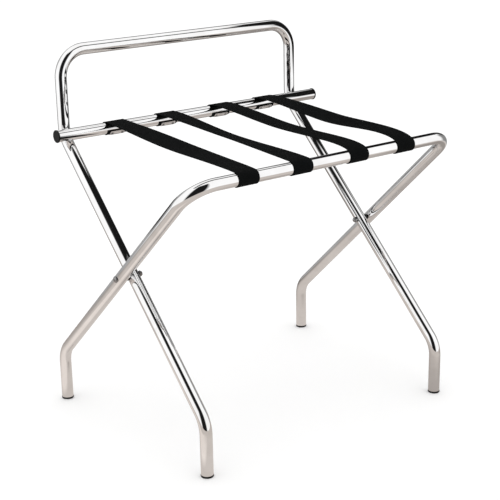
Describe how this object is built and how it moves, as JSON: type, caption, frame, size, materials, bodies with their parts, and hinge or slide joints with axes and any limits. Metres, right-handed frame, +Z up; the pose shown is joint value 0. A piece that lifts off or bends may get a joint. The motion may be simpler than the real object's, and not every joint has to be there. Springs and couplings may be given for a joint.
{
  "type": "folding luggage rack",
  "caption": "Folding luggage rack: two nested chrome tube frames hinged in an X, a raised back bar, and black webbing straps across the top rails.",
  "frame": {"origin": "floor level at the centre of the open rack's footprint, under the leg pivots", "axes": "+X to the rack's right seen from the front, +Y towards the back bar, +Z up"},
  "size_m": [0.6239, 0.47, 0.6924],
  "materials": {
    "chrome_tube": "polished chrome plate",
    "weld_bead": "plated weld bead",
    "black_plastic": "satin moulded nylon",
    "fastener": "zinc plated",
    "webbing": "woven nylon webbing",
    "retainer_plate": "nickel plated sheet",
    "rivet": "dull steel"
  },
  "bodies": {
    "rear_frame": {"rear_frame_tube": "chrome_tube", "rear_rail": "chrome_tube", "weld_left": "weld_bead", "weld_right": "weld_bead", "glide_front_left": "black_plastic", "glide_front_right": "black_plastic", "rail_plug_left": "black_plastic", "rail_plug_right": "black_plastic", "pivot_bolt_left": "fastener", "pivot_nut_left": "fastener", "pivot_spacer_left": "black_plastic", "pivot_bolt_right": "fastener", "pivot_nut_right": "fastener", "pivot_spacer_right": "black_plastic", "strap_1": "webbing", "strap_2": "webbing", "strap_3": "webbing", "strap_4": "webbing", "plate_rear_1": "retainer_plate", "plate_rear_2": "retainer_plate", "plate_rear_3": "retainer_plate", "plate_rear_4": "retainer_plate", "rivet_rear_1_left": "rivet", "rivet_rear_1_right": "rivet", "rivet_rear_2_left": "rivet", "rivet_rear_2_right": "rivet", "rivet_rear_3_left": "rivet", "rivet_rear_3_right": "rivet", "rivet_rear_4_left": "rivet", "rivet_rear_4_right": "rivet"},
    "front_frame": {"front_frame_tube": "chrome_tube", "glide_rear_left": "black_plastic", "glide_rear_right": "black_plastic", "plate_front_1": "retainer_plate", "plate_front_2": "retainer_plate", "plate_front_3": "retainer_plate", "plate_front_4": "retainer_plate", "rivet_front_1_left": "rivet", "rivet_front_1_right": "rivet", "rivet_front_2_left": "rivet", "rivet_front_2_right": "rivet", "rivet_front_3_left": "rivet", "rivet_front_3_right": "rivet", "rivet_front_4_left": "rivet", "rivet_front_4_right": "rivet"}
  },
  "joints": [
    {"name": "fold", "type": "hinge", "parent": "rear_frame", "child": "front_frame", "pos_m": [0, 0, 0.308], "axis": [-1, 0, 0], "range_deg": [0, 83], "deforming": ["strap_1", "strap_2", "strap_3", "strap_4"]}
  ]
}
